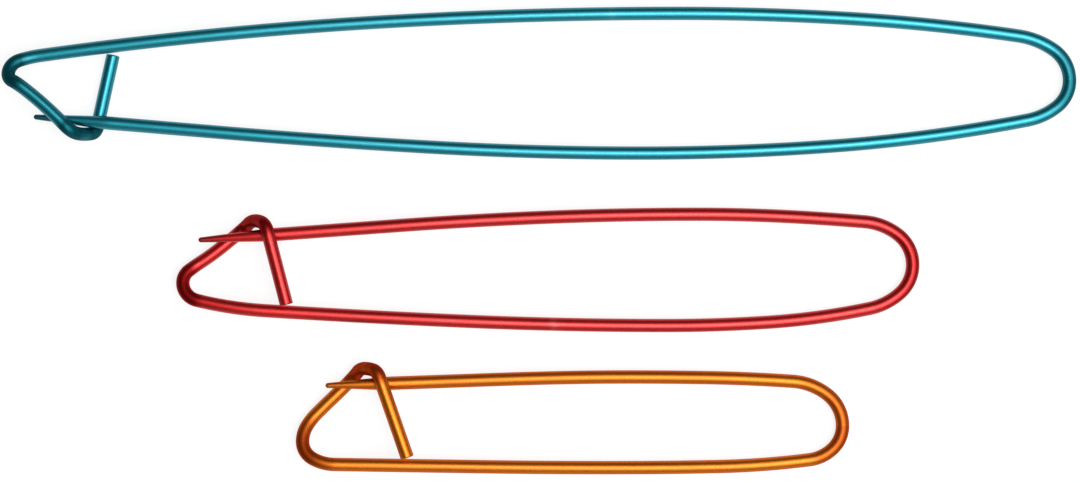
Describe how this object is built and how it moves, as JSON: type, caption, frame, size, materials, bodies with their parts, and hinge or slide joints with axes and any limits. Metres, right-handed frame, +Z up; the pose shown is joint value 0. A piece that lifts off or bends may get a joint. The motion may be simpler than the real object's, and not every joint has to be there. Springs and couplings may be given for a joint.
{
  "type": "stitch holder",
  "caption": "Bent-wire stitch holders in graded lengths, each a long sprung pin arm that closes under a turned-back hook, used to hold knitting stitches off the needle.",
  "frame": {"origin": "centre of the bounding box of the whole set in plan, at the level of the surface the holders lie on", "axes": "+X runs along the holders towards their bows, +Y across them towards the longest holder, +Z up from the surface they lie on"},
  "size_m": [0.2, 0.0872, 0.0081],
  "materials": {
    "teal_anodised": "satin anodised, teal",
    "red_anodised": "satin anodised, red",
    "orange_anodised": "satin anodised, orange"
  },
  "bodies": {
    "hook_frames": {"large_hook_arm": "teal_anodised", "large_nose": "teal_anodised", "large_slant": "teal_anodised", "large_hook": "teal_anodised", "large_tail": "teal_anodised", "medium_hook_arm": "red_anodised", "medium_nose": "red_anodised", "medium_slant": "red_anodised", "medium_hook": "red_anodised", "medium_tail": "red_anodised", "small_hook_arm": "orange_anodised", "small_nose": "orange_anodised", "small_slant": "orange_anodised", "small_hook": "orange_anodised", "small_tail": "orange_anodised"},
    "large_bow_body": {"large_bow": "teal_anodised"},
    "large_pin_body": {"large_pin_arm": "teal_anodised", "large_point": "teal_anodised"},
    "medium_bow_body": {"medium_bow": "red_anodised"},
    "medium_pin_body": {"medium_pin_arm": "red_anodised", "medium_point": "red_anodised"},
    "small_bow_body": {"small_bow": "orange_anodised"},
    "small_pin_body": {"small_pin_arm": "orange_anodised", "small_point": "orange_anodised"}
  },
  "joints": [
    {"name": "large_bow_flex", "type": "hinge", "parent": "hook_frames", "child": "large_bow_body", "pos_m": [0.08907, 0.03696, 0.0014], "axis": [-0.0151, 0, -0.9999], "range_deg": [0, 1.4], "stiffness_Nm_per_rad": 2.1, "springref_deg": -2.01},
    {"name": "large_pin_flex", "type": "hinge", "parent": "large_bow_body", "child": "large_pin_body", "pos_m": [0.09072, 0.02372, 0.00137], "axis": [-0.0151, 0, -0.9999], "range_deg": [0, 1.4], "stiffness_Nm_per_rad": 2.1, "springref_deg": -2.01},
    {"name": "medium_bow_flex", "type": "hinge", "parent": "hook_frames", "child": "medium_bow_body", "pos_m": [0.0611, -0.01148, 0.00143], "axis": [0.0215, 0, 0.9998], "range_deg": [0, 2.1], "stiffness_Nm_per_rad": 3, "springref_deg": -2.01},
    {"name": "medium_pin_flex", "type": "hinge", "parent": "medium_bow_body", "child": "medium_pin_body", "pos_m": [0.06045, 0.00225, 0.00144], "axis": [0.0215, 0, 0.9998], "range_deg": [0, 2.1], "stiffness_Nm_per_rad": 3, "springref_deg": -2.01},
    {"name": "small_bow_flex", "type": "hinge", "parent": "hook_frames", "child": "small_bow_body", "pos_m": [0.05, -0.0397, 0.00144], "axis": [0.0294, 0, 0.9996], "range_deg": [0, 3.8], "stiffness_Nm_per_rad": 4.2, "springref_deg": -2.01},
    {"name": "small_pin_flex", "type": "hinge", "parent": "small_bow_body", "child": "small_pin_body", "pos_m": [0.04697, -0.02754, 0.00153], "axis": [0.0294, 0, 0.9996], "range_deg": [0, 3.8], "stiffness_Nm_per_rad": 4.2, "springref_deg": -2.01}
  ],
  "couplings": [
    {"joint": "large_pin_flex", "follows": "large_bow_flex", "ratio": 1},
    {"joint": "medium_pin_flex", "follows": "medium_bow_flex", "ratio": 1},
    {"joint": "small_pin_flex", "follows": "small_bow_flex", "ratio": 1}
  ]
}
